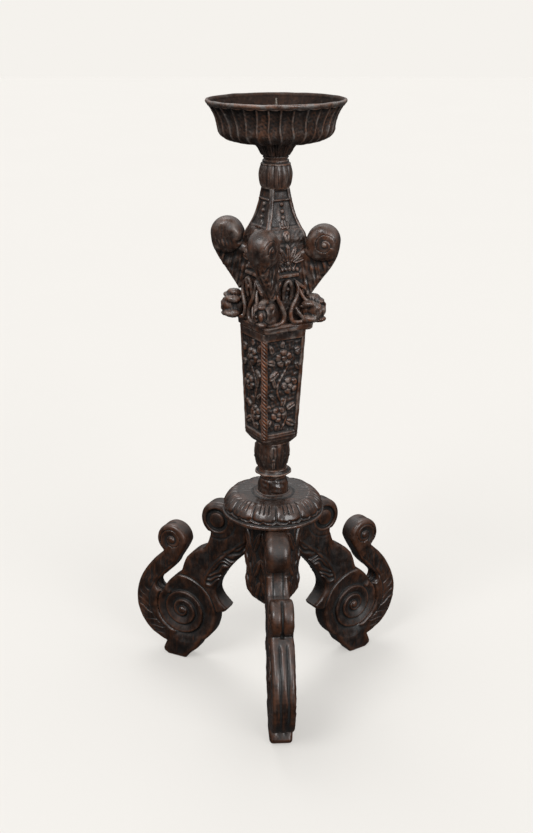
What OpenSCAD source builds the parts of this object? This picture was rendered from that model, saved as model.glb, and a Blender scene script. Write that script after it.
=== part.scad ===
// Carved wooden pricket candlestick on three scrolled legs.
// Millimetres, +Z up. The origin is where the stem's axis meets the floor.

/* [Overall] */
// Height from the floor to the rim of the drip bowl
total_h = 1000; // [980:5:1100]

/* [Bowl] */
// Outer radius of the drip bowl at its rim band
bowl_r = 107.5; // [100:0.5:112]
// Height of the drip bowl
bowl_h = 66; // [60:1:72]
// Number of gouged flutes round the bowl
bowl_flutes = 32; // [24:1:40]
// Depth of the bowl's hollow below its rim
bowl_depth = 50; // [44:1:52]
// Radius of the round part of the iron pricket
pricket_r = 3; // [2.5:0.1:4]
// Length of the round part of the pricket above the bowl's floor
pricket_len = 34; // [25:1:36]

/* [Stem] */
// Largest radius of the knop under the bowl
knop_r = 26; // [24:0.5:30]
// Half width of the square neck at its narrow top
neck_top_w = 16; // [14:0.5:18]
// Half width of the square neck at its flared foot
neck_foot_w = 31; // [28:0.5:33]
// Half width of the capital's core at its middle
core_w = 41; // [38:0.5:43]
// Distance from the stem's axis to the outside of a corner volute
volute_reach = 104; // [98:0.5:108]
// Thickness of a corner volute
volute_t = 34; // [28:1:38]
// Radius of a corner volute's rolled head
volute_head_r = 26; // [22:0.5:28]
// Radius of a corner rosette
rosette_r = 17; // [14:0.5:18]
// Half width of the abacus
abacus_w = 43; // [41:0.5:46]
// Half width of the shaft at its top
shaft_top_w = 37; // [34:0.5:38]
// Half width of the shaft at its bottom
shaft_foot_w = 30.5; // [28:0.5:33]
// Depth of the sunk panels on the shaft
panel_depth = 2.5; // [1.5:0.5:3]
// Largest radius of the turned baluster below the shaft
baluster_r = 29; // [26:0.5:31]

/* [Base] */
// Radius of the dome over the legs
dome_r = 86; // [82:0.5:90]
// Distance from the axis to a corner of the six-sided hub
hub_r = 50; // [46:0.5:52]
// Height of the hub's underside above the floor
hub_z = 160; // [150:1:170]

/* [Legs] */
// Thickness of the plank that a leg is sawn from
leg_t = 35; // [32:1:40]
// Radius of the spiral wheel in a leg
wheel_r = 68; // [66:0.5:69]
// Depth of the spiral groove cut in each side of a leg
groove_depth = 3; // [1:0.5:4]
// Radius of the dowels that hold a leg
leg_dowel_r = 5; // [4:0.5:6]

/* [Hidden] */
$fn = 64;
dark = [0.16, 0.10, 0.07];
worn = [0.27, 0.15, 0.09];
iron = [0.45, 0.44, 0.42];

// levels of the joints along the stem, from the floor
dome_z = 322;
dome_top_z = 353;
collar_z = 388;
baluster_z = 403;
shaft_z = 450;
abacus_z = total_h - 355;
capital_z = total_h - 342;
neck_z = total_h - 194;
knop_z = total_h - 134;
calyx_z = total_h - 89;
bowl_z = total_h - bowl_h;
bowl_floor_z = total_h - bowl_depth;

// the square pieces stand with their corners at these angles
corner_az = [-110, -20, 70, 160];
square_turn = 25;
leg_az = [-90, 30, 150];

// dowels along the stem
dowel_r = 8;
tang_w = 1.4 * pricket_r;
tang_len = 30;
crown_dowel_z = [knop_z + 14, bowl_z + 6];
neck_dowel_z = [neck_z + 40, knop_z + 12];
capital_dowel_z = [capital_z + 126, neck_z + 22];
shaft_dowel_z = [abacus_z - 25, capital_z + 30];
base_dowel_z = [dome_z - 40, shaft_z + 28];

// leg outline in its own plane: x from the stem's axis, y up
hub_face = hub_r * cos(30);
wheel_c = [172, 98];
scroll_c = [99, 290];
scroll_r = 32;
curl_c = [190.5, 232.5];
curl_r = 29;
leg_dowel_z = [268, 304];
leg_dowel_x = [24, 66];
groove_w = 9;

// points of a cubic curve from a to d
function curve(a, b, c, d, n = 10) =
    [for (i = [0 : n]) let (t = i / n, s = 1 - t)
        s * s * s * a + 3 * s * s * t * b + 3 * s * t * t * c + t * t * t * d];

// points of an arc about c, from angle a0 to a1
function arc(c, r, a0, a1, n = 12) =
    [for (i = [0 : n]) let (a = a0 + (a1 - a0) * i / n) c + r * [cos(a), sin(a)]];

// one strand of a spiral that shrinks as it turns clockwise from the left
function spiral(c, r0, r1, turns, n = 40) =
    [for (i = [0 : n]) let (a = 180 - 360 * turns * i / n, r = r0 + (r1 - r0) * i / n)
        c + r * [cos(a), sin(a)]];

// solid of revolution from an outline of [radius, height] points
module turned(outline) {
    rotate_extrude($fn = 96) polygon(outline);
}

// square block whose half width follows an outline of [half width, height] points
module squared(outline) {
    wide = 2 * max([for (p = outline) p[0]]) + 2;
    flat = concat(outline, [for (i = [len(outline) - 1 : -1 : 0]) [-outline[i][0], outline[i][1]]]);
    rotate([0, 0, square_turn]) intersection() {
        rotate([90, 0, 0]) linear_extrude(wide, center = true) polygon(flat);
        rotate([90, 0, 90]) linear_extrude(wide, center = true) polygon(flat);
    }
}

module dowel(span, r = dowel_r) {
    translate([0, 0, span[0]]) cylinder(h = span[1] - span[0], r = r);
}

// shape drawn in the vertical plane through the axis at angle az, centred on that plane
module upright(az, thickness) {
    rotate([0, 0, az]) rotate([90, 0, 0]) linear_extrude(thickness, center = true) children();
}

/* crown */

module tang() {
    translate([-tang_w / 2, -tang_w / 2, bowl_floor_z - tang_len]) cube([tang_w, tang_w, tang_len]);
}

module pricket() {
    point_len = bowl_depth - pricket_len;
    color(iron) {
        tang();
        translate([0, 0, bowl_floor_z]) cylinder(h = pricket_len, r = pricket_r);
        translate([0, 0, bowl_floor_z + pricket_len])
            cylinder(h = point_len, r1 = pricket_r, r2 = 0.8);
    }
}

module bowl() {
    rim_r = 5.5;
    rim = [bowl_r - rim_r, total_h - rim_r];
    side = [bowl_r - 2, total_h - 2 * rim_r];
    outer = curve(side, [90, total_h - 32], [98, total_h - 60], [60, bowl_z + 2], 14);
    inner = curve([55, bowl_floor_z], [86, bowl_floor_z + 1], [86, total_h - 26],
                  [bowl_r - 2 * rim_r, total_h - rim_r], 12);
    outline = concat([[0, bowl_z], [30, bowl_z]], [for (i = [14 : -1 : 0]) outer[i]],
                     arc(rim, rim_r, 0, 180, 10), [for (i = [11 : -1 : 0]) inner[i]],
                     [[0, bowl_floor_z]]);
    flute_r = 8;
    flute_in = 2.5;
    flute_run = [[87, total_h - 54], [bowl_r - 3.5, total_h - 14]];
    color(dark) difference() {
        turned(outline);
        for (i = [0 : bowl_flutes - 1])
            rotate([0, 0, i * 360 / bowl_flutes]) flute(flute_run, flute_r, flute_in);
        dowel(crown_dowel_z);
        // drilled as wide as the round of the pricket, which stands over it
        translate([0, 0, bowl_z]) cylinder(h = bowl_floor_z - bowl_z, r = pricket_r);
    }
}

// round gouge along the line run, which it enters by the depth deep
module flute(run, r, deep) {
    d = run[1] - run[0];
    lean = atan2(d[0], d[1]);
    out = (r - deep) * [cos(lean), -sin(lean)];
    translate([run[0][0] + out[0], 0, run[0][1] + out[1]]) rotate([0, lean, 0])
        cylinder(h = norm(d), r = r);
}

module calyx() {
    color(dark) difference() {
        turned(concat([[0, calyx_z], [19.5, calyx_z]],
                      curve([18.6, calyx_z + 2], [23, calyx_z + 7], [27, calyx_z + 14], [29, bowl_z]),
                      [[0, bowl_z]]));
        dowel(crown_dowel_z);
    }
}

module upper_knop() {
    color(dark) difference() {
        turned(concat([[0, knop_z]],
                      curve([22, knop_z], [knop_r + 2.5, knop_z + 12], [knop_r + 3, knop_z + 34],
                            [19, calyx_z - 3]),
                      arc([19, calyx_z - 1.5], 1.5, -90, 90, 6), [[0, calyx_z]]));
        dowel(crown_dowel_z);
        dowel(neck_dowel_z);
    }
}

module neck() {
    color(dark) difference() {
        squared(curve([neck_foot_w, neck_z], [22, neck_z + 19], [19, neck_z + 39],
                      [neck_top_w, knop_z]));
        dowel(neck_dowel_z);
        dowel(capital_dowel_z);
    }
}

/* capital */

module capital_core() {
    squared(concat([[core_w - 3, capital_z], [core_w, capital_z + 10]],
                   curve([core_w, capital_z + 45], [core_w, capital_z + 90],
                         [core_w + 3, capital_z + 135], [neck_foot_w, neck_z])));
}

module capital() {
    bar = [34, 5, 5];
    color(dark) difference() {
        union() {
            capital_core();
            for (a = [0 : 90 : 270])
                rotate([0, 0, square_turn + a])
                    translate([core_w, 0, capital_z + 62]) cube([bar[1], bar[0], bar[2]], center = true);
        }
        dowel(capital_dowel_z);
        dowel(shaft_dowel_z);
    }
}

module volute_shape() {
    c = [volute_reach - volute_head_r, neck_z - 18];
    foot_z = capital_z + 42;
    polygon(concat(arc(c, volute_head_r, 200, -10, 20),
                   curve([volute_reach - 1, neck_z - 30], [volute_reach - 4, neck_z - 48],
                         [86, neck_z - 68], [60, foot_z]),
                   [[38, foot_z], [38, neck_z - 30]]));
}

module volute(az) {
    eye_r = 9;
    eye = [volute_reach - volute_head_r, 0, neck_z - 18];
    color(dark) difference() {
        union() {
            upright(az, volute_t) volute_shape();
            rotate([0, 0, az]) translate(eye) rotate([90, 0, 0])
                cylinder(h = volute_t + 6, r = eye_r, center = true);
        }
        capital_core();
    }
}

module volute_1() { volute(corner_az[0]); }
module volute_2() { volute(corner_az[1]); }
module volute_3() { volute(corner_az[2]); }
module volute_4() { volute(corner_az[3]); }

module rosette(az) {
    color(worn) difference() {
        rotate([0, 0, az]) translate([abacus_w * sqrt(2) + 10, 0, capital_z + 21])
            sphere(r = rosette_r);
        capital_core();
    }
}

module rosette_1() { rosette(corner_az[0]); }
module rosette_2() { rosette(corner_az[1]); }
module rosette_3() { rosette(corner_az[2]); }
module rosette_4() { rosette(corner_az[3]); }

module abacus() {
    color(worn) difference() {
        squared([[abacus_w - 3, abacus_z], [abacus_w, abacus_z + 3], [abacus_w, capital_z - 3],
                 [abacus_w - 2, capital_z]]);
        dowel(shaft_dowel_z);
    }
}

/* shaft */

function shaft_w(z) =
    shaft_foot_w + (shaft_top_w - shaft_foot_w) * (z - shaft_z) / (abacus_z - shaft_z);

module shaft() {
    foot_in = 8;
    chamfer = 3;
    border = 9;
    flower_r = 11;
    flower_off = 5;
    panel_z = [shaft_z + 24, abacus_z - 14];
    color(dark) difference() {
        intersection() {
            squared([[shaft_foot_w - foot_in, shaft_z], [shaft_foot_w, shaft_z + 14],
                     [shaft_top_w, abacus_z]]);
            rotate([0, 0, 45])
                squared([[shaft_foot_w * sqrt(2) - chamfer, shaft_z],
                         [shaft_top_w * sqrt(2) - chamfer, abacus_z]]);
        }
        for (a = [0 : 90 : 270])
            rotate([0, 0, square_turn + a]) panel_cut(panel_z, border);
        dowel(shaft_dowel_z);
        dowel(base_dowel_z);
    }
    color(worn) for (a = [0 : 90 : 270], i = [0 : 2])
        let (z = panel_z[0] + (panel_z[1] - panel_z[0]) * (i + 0.5) / 3)
            rotate([0, 0, square_turn + a])
                translate([shaft_w(z) - panel_depth - 1, flower_off * (i % 2 == 0 ? 1 : -1), z])
                    rotate([0, 90, 0]) cylinder(h = panel_depth + 1, r = flower_r);
}

// sunk panel on the face towards +X, with sides that follow the shaft's taper
module panel_cut(span, border) {
    w0 = shaft_w(span[0]);
    w1 = shaft_w(span[1]);
    deep = panel_depth;
    intersection() {
        rotate([90, 0, 0]) linear_extrude(2 * shaft_top_w, center = true)
            polygon([[w0 - deep, span[0]], [w0 + 9, span[0]], [w1 + 9, span[1]], [w1 - deep, span[1]]]);
        rotate([90, 0, 90]) linear_extrude(3 * shaft_top_w)
            polygon([[border - w0, span[0]], [w0 - border, span[0]], [w1 - border, span[1]],
                     [border - w1, span[1]]]);
    }
}

module lower_baluster() {
    color(dark) difference() {
        turned(concat([[0, baluster_z], [24.5, baluster_z]],
                      curve([26, baluster_z + 1], [30, baluster_z + 16], [baluster_r + 1, baluster_z + 26],
                            [27.5, shaft_z - 6]),
                      arc([26, shaft_z - 3], 3, -60, 90, 6), [[0, shaft_z]]));
        dowel(base_dowel_z);
    }
}

module collar_ring() {
    color(worn) difference() {
        turned(concat([[0, collar_z], [22, collar_z], [27, collar_z + 2]],
                      arc([25.5, collar_z + 7.5], 4.3, -50, 60, 8),
                      [[24.5, baluster_z], [0, baluster_z]]));
        dowel(base_dowel_z);
    }
}

module base_neck() {
    color(dark) difference() {
        turned(concat([[0, dome_top_z], [20, dome_top_z]],
                      curve([20, dome_top_z], [27, dome_top_z + 6], [26, dome_top_z + 24],
                            [19.5, collar_z - 6]),
                      [[22, collar_z], [0, collar_z]]));
        dowel(base_dowel_z);
    }
}

/* base */

module dome() {
    roll_r = 4;
    color(dark) difference() {
        turned(concat([[0, dome_z], [dome_r - 2, dome_z]],
                      arc([dome_r - roll_r, dome_z + roll_r], roll_r, -60, 60, 6),
                      curve([dome_r - 4, dome_z + 9], [dome_r - 7, dome_z + 28], [68, dome_z + 38],
                            [54, dome_z + 40]),
                      curve([52, dome_z + 40], [44, dome_z + 38], [34, dome_top_z + 1],
                            [27, dome_top_z]),
                      [[0, dome_top_z]]));
        dowel(base_dowel_z);
    }
}

module hub() {
    chamfer = 20;
    foot_r = 35;
    color(dark) difference() {
        intersection() {
            translate([0, 0, hub_z]) cylinder(h = dome_z - hub_z, r = hub_r, $fn = 6);
            turned([[0, hub_z], [foot_r, hub_z], [hub_r, hub_z + chamfer], [hub_r + 5, dome_z],
                    [0, dome_z]]);
        }
        dowel(base_dowel_z);
        for (az = leg_az) leg_dowels(az);
    }
}

module leg_dowels(az) {
    for (z = leg_dowel_z)
        rotate([0, 0, az]) translate([leg_dowel_x[0], 0, z]) rotate([0, 90, 0])
            cylinder(h = leg_dowel_x[1] - leg_dowel_x[0], r = leg_dowel_r);
}

// top scroll, body, wheel, arm, curl and foot in one outline, sawn from a plank
module leg_outline() {
    back = concat(
        curve([hub_face, 240], [66, 216], [92, 190], [102, 160], 8),
        curve([103.5, 153], [104, 140], [94, 130], [81.5, 121], 8),
        curve([84, 116], [89, 111], [95, 109], [103.5, 108], 4));
    foot = [[143, 25], [161, 8.5], [167, 0], [202, 0], [211, 5], [213, 11]];
    arm_out = concat(
        curve([206, 27], [242, 37], [267, 66], [267, 104], 8),
        curve([267, 108], [267, 142], [240, 178], [208, 208], 8));
    curl = arc(curl_c, curl_r, -48, 185, 18);
    slot = concat(
        curve([164, 224], [169, 213], [176, 203], [183, 191], 4),
        curve([186, 184], [196, 169], [212, 157], [222, 146], 6),
        curve([225, 140], [226, 132], [220, 126], [213, 128], 4),
        curve([208, 136], [204, 146], [196, 156], [178, 169.5], 5),
        curve([174, 173], [170, 180], [169, 192], [161, 206], 4));
    shoulder = concat(
        curve([159, 208], [152, 217], [144, 224], [132, 228.7], 5),
        curve([128, 230], [121, 236], [115, 248], [114, 264], 5));
    scroll = arc(scroll_c, scroll_r, -55, 90, 14);
    polygon(concat(back, arc(wheel_c, wheel_r, 175, 236, 10), foot, arm_out, curl, slot,
                   shoulder, scroll, [[hub_face, scroll_c[1] + scroll_r]]));
}

module groove_outline(c, r0, r1, turns, w) {
    outer = spiral(c, r0, r1, turns);
    inner = spiral(c, r0 - w, r1 - w, turns);
    polygon(concat(outer, [for (i = [len(inner) - 1 : -1 : 0]) inner[i]]));
}

module leg(az) {
    skin = leg_t / 2 - groove_depth;
    boss_r = 16;
    color(dark) difference() {
        union() {
            upright(az, leg_t) leg_outline();
            rotate([0, 0, az]) translate([scroll_c[0], 0, scroll_c[1]]) rotate([90, 0, 0])
                cylinder(h = leg_t + 4, r = boss_r, center = true);
        }
        for (side = [-1, 1])
            rotate([0, 0, az]) translate([0, side * (skin + leg_t / 2), 0]) rotate([90, 0, 0])
                linear_extrude(leg_t, center = true)
                    groove_outline(wheel_c, wheel_r - 15, 18, 1.25, groove_w);
        leg_dowels(az);
    }
}

module leg_front() { leg(leg_az[0]); }
module leg_right() { leg(leg_az[1]); }
module leg_left() { leg(leg_az[2]); }

/* dowels */

module crown_dowel() {
    color(worn) difference() {
        dowel(crown_dowel_z);
        tang();
    }
}
module neck_dowel() { color(worn) dowel(neck_dowel_z); }
module capital_dowel() { color(worn) dowel(capital_dowel_z); }
module shaft_dowel() { color(worn) dowel(shaft_dowel_z); }
module base_dowel() { color(worn) dowel(base_dowel_z); }
module leg_front_dowels() { color(worn) leg_dowels(leg_az[0]); }
module leg_right_dowels() { color(worn) leg_dowels(leg_az[1]); }
module leg_left_dowels() { color(worn) leg_dowels(leg_az[2]); }

pricket();
bowl();
calyx();
upper_knop();
neck();
capital();
volute_1();
volute_2();
volute_3();
volute_4();
rosette_1();
rosette_2();
rosette_3();
rosette_4();
abacus();
shaft();
lower_baluster();
collar_ring();
base_neck();
dome();
hub();
leg_front();
leg_right();
leg_left();
crown_dowel();
neck_dowel();
capital_dowel();
shaft_dowel();
base_dowel();
leg_front_dowels();
leg_right_dowels();
leg_left_dowels();
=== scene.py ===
"""Looks of the carved wooden pricket candlestick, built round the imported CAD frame.

Lengths in this script are millimetres until a mesh is made. The stem stands on +Z and the
front leg points to -Y.
"""

import math

import bpy
import numpy as np
from mathutils import Matrix, Vector


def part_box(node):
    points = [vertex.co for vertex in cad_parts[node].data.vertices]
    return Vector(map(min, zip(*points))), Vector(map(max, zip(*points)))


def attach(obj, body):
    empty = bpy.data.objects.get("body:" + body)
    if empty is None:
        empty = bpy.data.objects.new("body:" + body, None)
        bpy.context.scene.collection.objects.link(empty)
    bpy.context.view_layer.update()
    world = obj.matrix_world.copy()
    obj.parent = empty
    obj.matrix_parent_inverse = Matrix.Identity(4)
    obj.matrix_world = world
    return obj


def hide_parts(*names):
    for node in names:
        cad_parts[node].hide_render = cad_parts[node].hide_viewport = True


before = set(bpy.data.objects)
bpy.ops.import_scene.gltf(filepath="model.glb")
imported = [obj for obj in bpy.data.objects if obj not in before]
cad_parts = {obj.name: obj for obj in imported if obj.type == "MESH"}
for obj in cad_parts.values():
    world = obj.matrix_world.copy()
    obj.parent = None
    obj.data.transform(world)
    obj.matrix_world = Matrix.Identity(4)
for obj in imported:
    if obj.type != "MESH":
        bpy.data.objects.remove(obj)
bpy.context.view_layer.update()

MM = 0.001
TAU = 2 * math.pi
FINE = 1.0  # how much coarser than final the meshes are


# ---------------- sizes from the frame

def span(node):
    """Lowest and highest corner of a CAD node, in millimetres."""
    lo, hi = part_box(node)
    return np.array(lo) / MM, np.array(hi) / MM


TOP = span("bowl")[1][2]
BOWL_Z = span("bowl")[0][2]
CALYX_Z = span("calyx")[0][2]
KNOP_Z = span("upper_knop")[0][2]
NECK_Z = span("neck")[0][2]
CAPITAL_Z = span("capital")[0][2]
ABACUS_Z = span("abacus")[0][2]
SHAFT_Z = span("shaft")[0][2]
BALUSTER_Z = span("lower_baluster")[0][2]
COLLAR_Z = span("collar_ring")[0][2]
DOME_TOP_Z = span("base_neck")[0][2]
DOME_Z = span("dome")[0][2]
DOME_R = span("dome")[1][0]
HUB_Z = span("hub")[0][2]
HUB_R = span("hub")[1][0]
# directions round the stem in degrees, counted from +X towards +Y
LEG_AZ = {"leg_front": -90.5, "leg_right": 30, "leg_left": 150}
CORNER_AZ = (-110, -20, 70, 160)
SQUARE_TURN = 25
# carved relief that the wood material reads: name, smoothing rounds that it is measured against,
# and the height in millimetres that counts as 1
RELIEFS = (("fine_relief", 5, 0.25), ("broad_relief", 40, 1.1))


# ---------------- shaping functions

def ease(x, lo, hi):
    """0 below lo, 1 above hi, and a smooth step between."""
    t = np.clip((x - lo) / (hi - lo), 0, 1)
    return t * t * (3 - 2 * t)


def ridge(x, width):
    """A smooth ridge of height 1 at x = 0."""
    return np.exp(-(x / width) ** 2)


def roll(x, half):
    """A half-round roll of height 1 at x = 0 that ends at x = +-half."""
    return np.sqrt(np.clip(1 - (x / half) ** 2, 0, 1))


def within(x, lo, hi, edge):
    """1 between lo and hi, with soft edges."""
    return ease(x, lo - edge / 2, lo + edge / 2) * (1 - ease(x, hi - edge / 2, hi + edge / 2))


def wobble(x, y, size, seed):
    """Uneven hand work between about -1 and 1, with lumps about `size` across."""
    rng = np.random.default_rng(seed)
    total, waves, usual_peak = 0, 6, 3.2
    for _ in range(waves):
        way = rng.uniform(0, TAU)
        pitch = size * rng.uniform(0.8, 1.7)
        start = rng.uniform(0, TAU)
        total = total + np.sin((x * math.cos(way) + y * math.sin(way)) * TAU / pitch + start)
    return total / usual_peak


def curve(a, b, c, d, n=12):
    """Points of a cubic curve from a to d, with b and c as its handles."""
    a, b, c, d = (np.array(p, float) for p in (a, b, c, d))
    t = np.linspace(0, 1, n + 1)[:, None]
    s = 1 - t
    return s**3 * a + 3 * s * s * t * b + 3 * s * t * t * c + t**3 * d


def above(foot, *points):
    """Points [across, up] with their heights measured from `foot`."""
    return [[across, foot + up] for across, up in points]


def arc(c, r, a0, a1, n=12):
    """Points of an arc round c from a0 to a1 degrees."""
    a = np.radians(np.linspace(a0, a1, n + 1))
    return np.array(c) + r * np.stack([np.cos(a), np.sin(a)], 1)


def resample(points, step):
    """The same line with points about `step` apart."""
    points = np.concatenate([np.atleast_2d(np.array(p, float)) for p in points])
    keep = np.r_[True, np.linalg.norm(np.diff(points, axis=0), axis=1) > 1e-6]
    points = points[keep]
    run = np.r_[0, np.cumsum(np.linalg.norm(np.diff(points, axis=0), axis=1))]
    s = np.linspace(0, run[-1], max(2, int(round(run[-1] / step)) + 1))
    return np.stack([np.interp(s, run, points[:, i]) for i in range(points.shape[1])], 1)


def line_normals(points):
    """Normals on the right-hand side of a 2-D line."""
    t = np.gradient(points, axis=0)
    t /= np.linalg.norm(t, axis=1)[:, None] + 1e-9
    return np.stack([t[:, 1], -t[:, 0]], 1)


# ---------------- meshes

def relief_of(verts, quads, normals, rounds):
    """How far each vertex stands above its smoothed surroundings, in millimetres."""
    n = len(verts)
    a = quads.ravel()
    b = np.roll(quads, -1, axis=1).ravel()
    src, dst = np.r_[a, b], np.r_[b, a]
    count = np.maximum(np.bincount(dst, minlength=n), 1)
    soft = verts.copy()
    for _ in range(rounds):
        soft = np.stack([np.bincount(dst, soft[src, i], minlength=n) / count for i in range(3)], 1)
    return ((verts - soft) * normals).sum(1)


def add_mesh(name, verts, quads, material, nodes=(), caps=()):
    """Makes a smooth-shaded object from millimetre vertices and hangs it on the body."""
    verts = np.asarray(verts, float)
    quads = np.asarray(quads, int)
    mesh = bpy.data.meshes.new(name)
    faces = quads.tolist() + [list(c) for c in caps]
    mesh.from_pydata((verts * MM).tolist(), [], faces)
    mesh.polygons.foreach_set("use_smooth", [True] * len(quads) + [False] * len(caps))
    mesh.update()
    normals = np.empty(len(verts) * 3)
    mesh.vertex_normals.foreach_get("vector", normals)
    normals = normals.reshape(-1, 3)
    for layer, rounds, reach in RELIEFS:
        height = relief_of(verts, quads, normals, rounds)
        data = mesh.attributes.new(layer, "FLOAT", "POINT")
        data.data.foreach_set("value", np.clip(height / reach, -1, 1))
    mesh.materials.append(material)
    obj = bpy.data.objects.new(name, mesh)
    bpy.context.collection.objects.link(obj)
    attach(obj, "root")
    if nodes:
        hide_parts(*nodes)
    return obj


def darken(obj, first, amount, material):
    """From vertex `first` on, the wood reads as sunk, so that the material paints it with shade, and is of
    another material. A lathe's faces run in the order of their vertices."""
    data = obj.data.attributes["broad_relief"].data
    value = np.empty(len(data))
    data.foreach_get("value", value)
    value[first:] -= amount
    data.foreach_set("value", value)
    obj.data.materials.append(material)
    slots = np.zeros(len(obj.data.polygons), int)
    slots[first:] = 1
    obj.data.polygons.foreach_set("material_index", slots)


def grid_quads(rows, cols):
    """Faces of a grid of vertices that is closed round its columns."""
    r = np.arange(rows - 1)[:, None] * cols
    c = np.arange(cols)[None, :]
    c1 = (c + 1) % cols
    return np.stack([r + c, r + c1, r + cols + c1, r + cols + c], -1).reshape(-1, 4)


def end_caps(rows, cols):
    """The faces that close such a grid's first and last rows."""
    return [range(cols - 1, -1, -1), range((rows - 1) * cols, rows * cols)]


def add_lathe(name, outline, relief, around, material, nodes, step=1.0):
    """Turned piece. outline runs up the outside as [radius, height]; relief(theta, r, z, s)
    gives the carving's height along the surface's own normal."""
    line = resample(outline, step * FINE)
    normal = line_normals(line)
    rows, cols = len(line), int(around / FINE)
    theta = (np.arange(cols) / cols * TAU)[None, :]
    r, z = line[:, :1], line[:, 1:]
    s = (np.arange(rows) * step * FINE)[:, None]
    h = relief(theta, r, z, s)
    radius = np.maximum(r + normal[:, :1] * h, 0.05)
    height = z + normal[:, 1:] * h
    verts = np.stack([radius * np.cos(theta), radius * np.sin(theta), height], -1).reshape(-1, 3)
    return add_mesh(name, verts, grid_quads(rows, cols), material, nodes, end_caps(rows, cols))


def add_square(name, outline, relief, per_side, material, nodes, step=1.0, sharp=14, turn=SQUARE_TURN,
               sides=4):
    """Square or many-sided piece. outline is [half width, height] upwards; relief(side, y, z, w)
    is the carving's height on a face, with y measured along the face from its middle."""
    line = resample(outline, step * FINE)
    n = int(per_side / FINE)
    half = math.tan(math.pi / sides)
    s = ((np.arange(n) / n * 2 - 1 + 1 / n) * half)[None, :]
    w, z = line[:, :1], line[:, 1:]
    slope = line_normals(line)
    k = np.abs(s / half)
    x = w / (1 + k**sharp) ** (1 / sharp)
    bevel = 0.5 * k**(sharp - 1) * np.sign(s) * half
    size = np.sqrt(1 + bevel**2)
    rings = []
    for side in range(sides):
        h = relief(side, s * w, z, w)
        out, across = x + slope[:, :1] / size * h, x * s + slope[:, :1] * bevel / size * h
        a = math.radians(turn) + side * TAU / sides
        rings.append(np.stack([out * math.cos(a) - across * math.sin(a),
                               out * math.sin(a) + across * math.cos(a), z + slope[:, 1:] * h], -1))
    verts = np.concatenate(rings, 1)
    rows, cols = verts.shape[:2]
    return add_mesh(name, verts.reshape(-1, 3), grid_quads(rows, cols), material, nodes, end_caps(rows, cols))


def surface_of(field, low, step):
    """Quads round the inside (negative part) of a field sampled on a cubic grid."""
    inside = field < 0
    corners = [(i, j, k) for i in (0, 1) for j in (0, 1) for k in (0, 1)]
    cut = tuple(n - 1 for n in field.shape)
    total = np.zeros(cut, np.int8)
    for i, j, k in corners:
        total += inside[i:i + cut[0], j:j + cut[1], k:k + cut[2]]
    cell = np.argwhere((total > 0) & (total < 8))
    ids = np.full(cut, -1, np.int64)
    ids[tuple(cell.T)] = np.arange(len(cell))
    value = {c: field[cell[:, 0] + c[0], cell[:, 1] + c[1], cell[:, 2] + c[2]] for c in corners}
    place, count = np.zeros((len(cell), 3)), np.zeros(len(cell))
    for a in corners:
        for axis in range(3):
            if a[axis]:
                continue
            b = tuple(1 if i == axis else a[i] for i in range(3))
            va, vb = value[a], value[b]
            crosses = (va < 0) != (vb < 0)
            t = np.where(crosses, va / np.where(crosses, va - vb, 1), 0)
            at = np.tile(np.array(a, float), (len(cell), 1))
            at[:, axis] = t
            place += at * crosses[:, None]
            count += crosses
    verts = (cell + place / count[:, None]) * step + low
    quads = []
    for axis in range(3):
        u, v = [i for i in range(3) if i != axis]
        here = [slice(1, -1)] * 3
        here[axis] = slice(0, -1)
        there = list(here)
        there[axis] = slice(1, None)
        change = inside[tuple(here)] != inside[tuple(there)]
        at = np.argwhere(change)
        at[:, u] += 1
        at[:, v] += 1
        out = inside[tuple(at.T)]
        ring = []
        for du, dv in ((-1, -1), (0, -1), (0, 0), (-1, 0)):
            p = at.copy()
            p[:, u] += du
            p[:, v] += dv
            ring.append(ids[tuple(p.T)])
        quad = np.stack(ring, 1)
        flip = out if axis != 1 else ~out
        quads.append(np.where(flip[:, None], quad, quad[:, ::-1]))
    return verts, np.concatenate(quads)


def outline_distance(x, y, outline):
    """Signed distance from points to a closed outline, negative inside."""
    shape = x.shape
    p = np.stack([x.ravel(), y.ravel()], 1).astype(np.float32)
    best = np.full(len(p), 1e9, np.float32)
    odd = np.zeros(len(p), bool)
    a = outline.astype(np.float32)
    b = np.roll(a, -1, axis=0)
    for p0, p1 in zip(a, b):
        d = p1 - p0
        q = p - p0
        t = np.clip(q @ d / max(float(d @ d), 1e-9), 0, 1)
        best = np.minimum(best, ((q - t[:, None] * d) ** 2).sum(1))
        crosses = (p0[1] > p[:, 1]) != (p1[1] > p[:, 1])
        if p0[1] != p1[1]:
            at = p0[0] + (p[:, 1] - p0[1]) * d[0] / d[1]
            odd ^= crosses & (p[:, 0] < at)
    return np.where(odd, -1, 1).reshape(shape) * np.sqrt(best).reshape(shape)


def both(a, b, r):
    """Where two fields overlap, with their common edge rounded by about r."""
    h = np.maximum(r - np.abs(a - b), 0) / r
    return np.maximum(a, b) + h * h * r / 4


def either(a, b, r):
    """Two fields joined, with a fillet of about r between them."""
    return -both(-a, -b, r)


def placed(verts, az):
    """Turns vertices given as [out, across, up] to the direction az round the stem."""
    a = math.radians(az)
    x, y, z = verts.T
    return np.stack([x * math.cos(a) - y * math.sin(a), x * math.sin(a) + y * math.cos(a), z], 1)


def plank_grid(low, size, step):
    """Sample grid of a plank that stands on edge: its lowest corner, out and up over the plank's
    face, and the places across it, which are centred on 0."""
    n = (np.array(size) / step).astype(int)
    r = low[0] + np.arange(n[0]) * step
    z = low[1] + np.arange(n[2]) * step
    across = -((n[1] - 1) / 2) * step + np.arange(n[1]) * step
    return np.array([low[0], across[0], low[1]]), *np.meshgrid(r, z, indexing="ij"), across[None, :, None]


# ---------------- materials

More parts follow.
